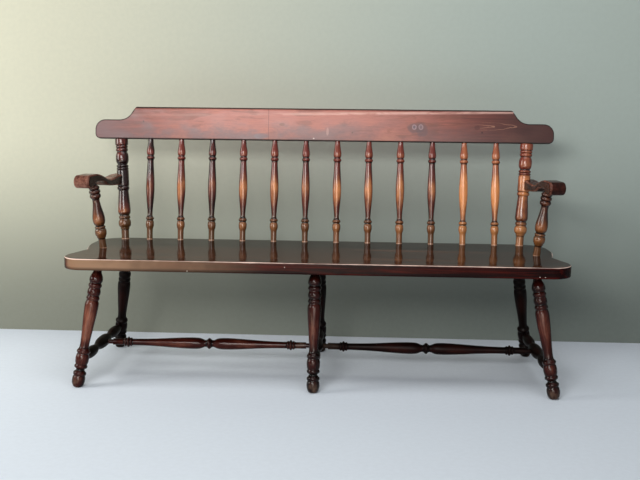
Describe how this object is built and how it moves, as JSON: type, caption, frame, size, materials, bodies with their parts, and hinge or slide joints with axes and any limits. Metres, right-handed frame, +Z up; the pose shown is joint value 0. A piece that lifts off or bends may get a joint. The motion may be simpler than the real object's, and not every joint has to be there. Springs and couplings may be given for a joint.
{
  "type": "deacons bench",
  "caption": "Long wooden bench with a shaped plank seat, a stepped crest rail on turned spindles, rolled open arms and splayed turned legs with stretchers.",
  "frame": {"origin": "on the floor, under the middle of the bench's overall box", "axes": "+X to the right seen from the front, +Y to the back, +Z up"},
  "size_m": [1.667, 0.5366, 0.9196],
  "materials": {
    "crest_wood": "stained and lacquered, medium gloss, brushed by years of use",
    "seat_wood": "dark stained and lacquered, high gloss, worn pale along the front edge",
    "back_wood": "red-brown stained and lacquered turnings, glossy, darker in the grooves",
    "arm_wood": "dark red-brown stained and lacquered, glossy",
    "leg_wood": "very dark stained and lacquered turnings, glossy, scuffed at the feet",
    "screw_steel": "plain steel wood screw"
  },
  "bodies": {
    "root": {"arm_left": "arm_wood", "arm_right": "arm_wood", "arm_screw_left": "screw_steel", "arm_screw_right": "screw_steel", "arm_stump_left": "arm_wood", "arm_stump_right": "arm_wood", "back_post_left": "back_wood", "back_post_right": "back_wood", "back_spindle_01": "back_wood", "back_spindle_02": "back_wood", "back_spindle_03": "back_wood", "back_spindle_04": "back_wood", "back_spindle_05": "back_wood", "back_spindle_06": "back_wood", "back_spindle_07": "back_wood", "back_spindle_08": "back_wood", "back_spindle_09": "back_wood", "back_spindle_10": "back_wood", "back_spindle_11": "back_wood", "back_spindle_12": "back_wood", "crest_pin_left": "back_wood", "crest_pin_right": "back_wood", "crest_rail": "crest_wood", "leg_front_left": "leg_wood", "leg_front_middle": "leg_wood", "leg_front_right": "leg_wood", "leg_rear_left": "leg_wood", "leg_rear_middle": "leg_wood", "leg_rear_right": "leg_wood", "long_stretcher_left": "leg_wood", "long_stretcher_right": "leg_wood", "screw_plug_left": "arm_wood", "screw_plug_right": "arm_wood", "seat_plank": "seat_wood", "side_stretcher_left": "leg_wood", "side_stretcher_middle": "leg_wood", "side_stretcher_right": "leg_wood"}
  },
  "joints": []
}
